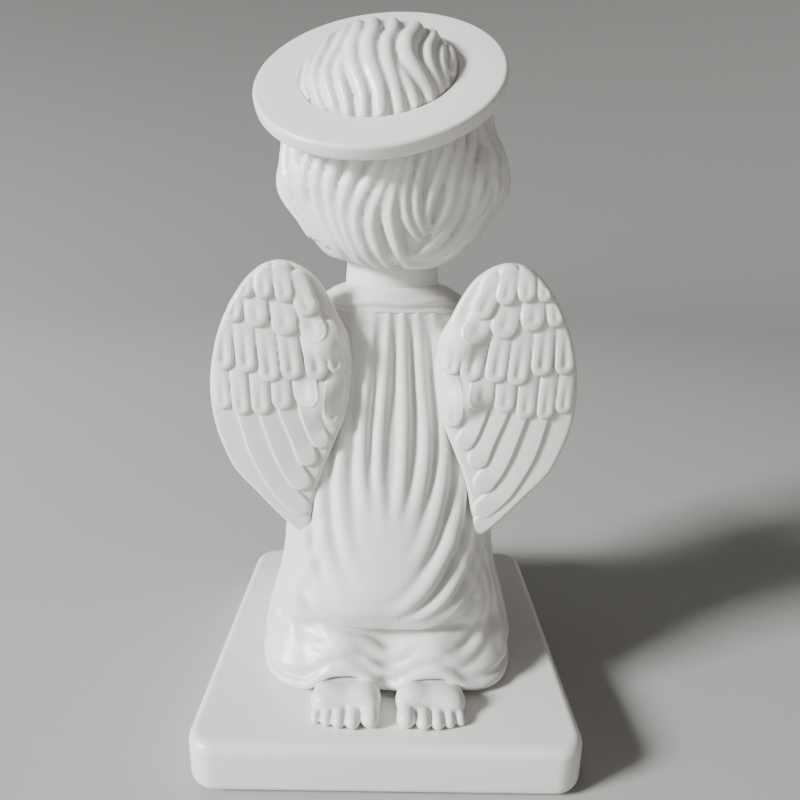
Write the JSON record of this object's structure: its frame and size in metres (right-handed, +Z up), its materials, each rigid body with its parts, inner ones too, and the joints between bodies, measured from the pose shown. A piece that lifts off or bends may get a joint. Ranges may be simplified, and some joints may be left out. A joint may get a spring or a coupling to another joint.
{
  "type": "angel figurine",
  "caption": "Kneeling praying angel figurine with feathered wings and a tilted ring halo, on a square plinth, an assembly of glued and pinned resin castings.",
  "frame": {"origin": "centre of the felt's underside, where the figurine stands on a surface", "axes": "+Z up; the figure faces -Y and its wings are on the +Y side; +X is the figure's own left"},
  "size_m": [0.1024, 0.1024, 0.1965],
  "materials": {
    "resin": "cast white resin, satin gloss",
    "felt": "dark grey felt",
    "steel": "plain steel rod"
  },
  "bodies": {
    "root": {"plinth": "resin", "felt_pad": "felt", "robe": "resin", "collar": "resin", "neck": "resin", "head": "resin", "hair": "resin", "halo": "resin", "wing_left": "resin", "wing_right": "resin", "sleeve_left": "resin", "sleeve_right": "resin", "hand_left": "resin", "hand_right": "resin", "foot_left": "resin", "foot_right": "resin", "neck_dowel": "steel", "wing_pins": "steel", "sleeve_pins": "steel", "plinth_dowels": "steel"}
  },
  "joints": []
}
